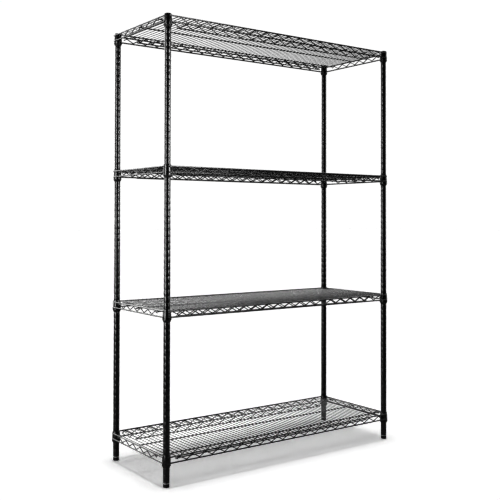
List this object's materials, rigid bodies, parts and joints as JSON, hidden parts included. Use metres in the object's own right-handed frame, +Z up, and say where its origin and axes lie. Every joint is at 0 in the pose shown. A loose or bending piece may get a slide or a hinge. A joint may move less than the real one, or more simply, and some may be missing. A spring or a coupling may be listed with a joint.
{
  "type": "wire shelving rack",
  "caption": "Black free-standing rack of open wire shelves wedged on grooved round posts, with screw-in levelling feet.",
  "frame": {"origin": "on the floor under the middle of the rack", "axes": "+Z up, X along the shelves with +X to the right seen from the front, +Y from the front to the back"},
  "size_m": [1.2214, 0.4594, 1.829],
  "materials": {
    "black_steel": "semi-gloss black epoxy coat on steel wire and tube",
    "black_plastic": "satin black moulded plastic",
    "sleeve_plastic": "satin black moulded plastic",
    "zinc_steel": "bright zinc plate"
  },
  "bodies": {
    "frame": {"post_front_left": "black_steel", "post_front_right": "black_steel", "post_back_left": "black_steel", "post_back_right": "black_steel", "post_cap_front_left": "black_plastic", "post_cap_front_right": "black_plastic", "post_cap_back_left": "black_plastic", "post_cap_back_right": "black_plastic", "foot_insert_front_left": "zinc_steel", "foot_insert_front_right": "zinc_steel", "foot_insert_back_left": "zinc_steel", "foot_insert_back_right": "zinc_steel", "sleeves_1": "sleeve_plastic", "sleeves_2": "sleeve_plastic", "sleeves_3": "sleeve_plastic", "sleeves_4": "sleeve_plastic"},
    "shelf_1": {"shelf_1_deck": "black_steel", "shelf_1_front_truss": "black_steel", "shelf_1_back_truss": "black_steel", "shelf_1_left_truss": "black_steel", "shelf_1_right_truss": "black_steel", "shelf_1_inner_front_truss": "black_steel", "shelf_1_inner_back_truss": "black_steel", "shelf_1_collars": "black_steel"},
    "shelf_2": {"shelf_2_deck": "black_steel", "shelf_2_front_truss": "black_steel", "shelf_2_back_truss": "black_steel", "shelf_2_left_truss": "black_steel", "shelf_2_right_truss": "black_steel", "shelf_2_inner_front_truss": "black_steel", "shelf_2_inner_back_truss": "black_steel", "shelf_2_collars": "black_steel"},
    "shelf_3": {"shelf_3_deck": "black_steel", "shelf_3_front_truss": "black_steel", "shelf_3_back_truss": "black_steel", "shelf_3_left_truss": "black_steel", "shelf_3_right_truss": "black_steel", "shelf_3_inner_front_truss": "black_steel", "shelf_3_inner_back_truss": "black_steel", "shelf_3_collars": "black_steel"},
    "shelf_4": {"shelf_4_deck": "black_steel", "shelf_4_front_truss": "black_steel", "shelf_4_back_truss": "black_steel", "shelf_4_left_truss": "black_steel", "shelf_4_right_truss": "black_steel", "shelf_4_inner_front_truss": "black_steel", "shelf_4_inner_back_truss": "black_steel", "shelf_4_collars": "black_steel"},
    "foot_front_left": {"foot_pad_front_left": "black_plastic", "foot_stem_front_left": "zinc_steel"},
    "foot_front_right": {"foot_pad_front_right": "black_plastic", "foot_stem_front_right": "zinc_steel"},
    "foot_back_left": {"foot_pad_back_left": "black_plastic", "foot_stem_back_left": "zinc_steel"},
    "foot_back_right": {"foot_pad_back_right": "black_plastic", "foot_stem_back_right": "zinc_steel"}
  },
  "joints": [
    {"name": "shelf_1_lift", "type": "slide", "parent": "frame", "child": "shelf_1", "axis": [0, 0, 1], "range_m": [0, 0.505]},
    {"name": "shelf_2_lift", "type": "slide", "parent": "frame", "child": "shelf_2", "axis": [0, 0, 1], "range_m": [0, 0.505]},
    {"name": "shelf_3_lift", "type": "slide", "parent": "frame", "child": "shelf_3", "axis": [0, 0, 1], "range_m": [0, 0.53]},
    {"name": "shelf_4_lift", "type": "slide", "parent": "frame", "child": "shelf_4", "axis": [0, 0, 1], "range_m": [0, 0.08]},
    {"name": "foot_front_left_screw", "type": "slide", "parent": "frame", "child": "foot_front_left", "axis": [0, 0, -1], "range_m": [0, 0.016]},
    {"name": "foot_front_right_screw", "type": "slide", "parent": "frame", "child": "foot_front_right", "axis": [0, 0, -1], "range_m": [0, 0.016]},
    {"name": "foot_back_left_screw", "type": "slide", "parent": "frame", "child": "foot_back_left", "axis": [0, 0, -1], "range_m": [0, 0.016]},
    {"name": "foot_back_right_screw", "type": "slide", "parent": "frame", "child": "foot_back_right", "axis": [0, 0, -1], "range_m": [0, 0.016]}
  ]
}
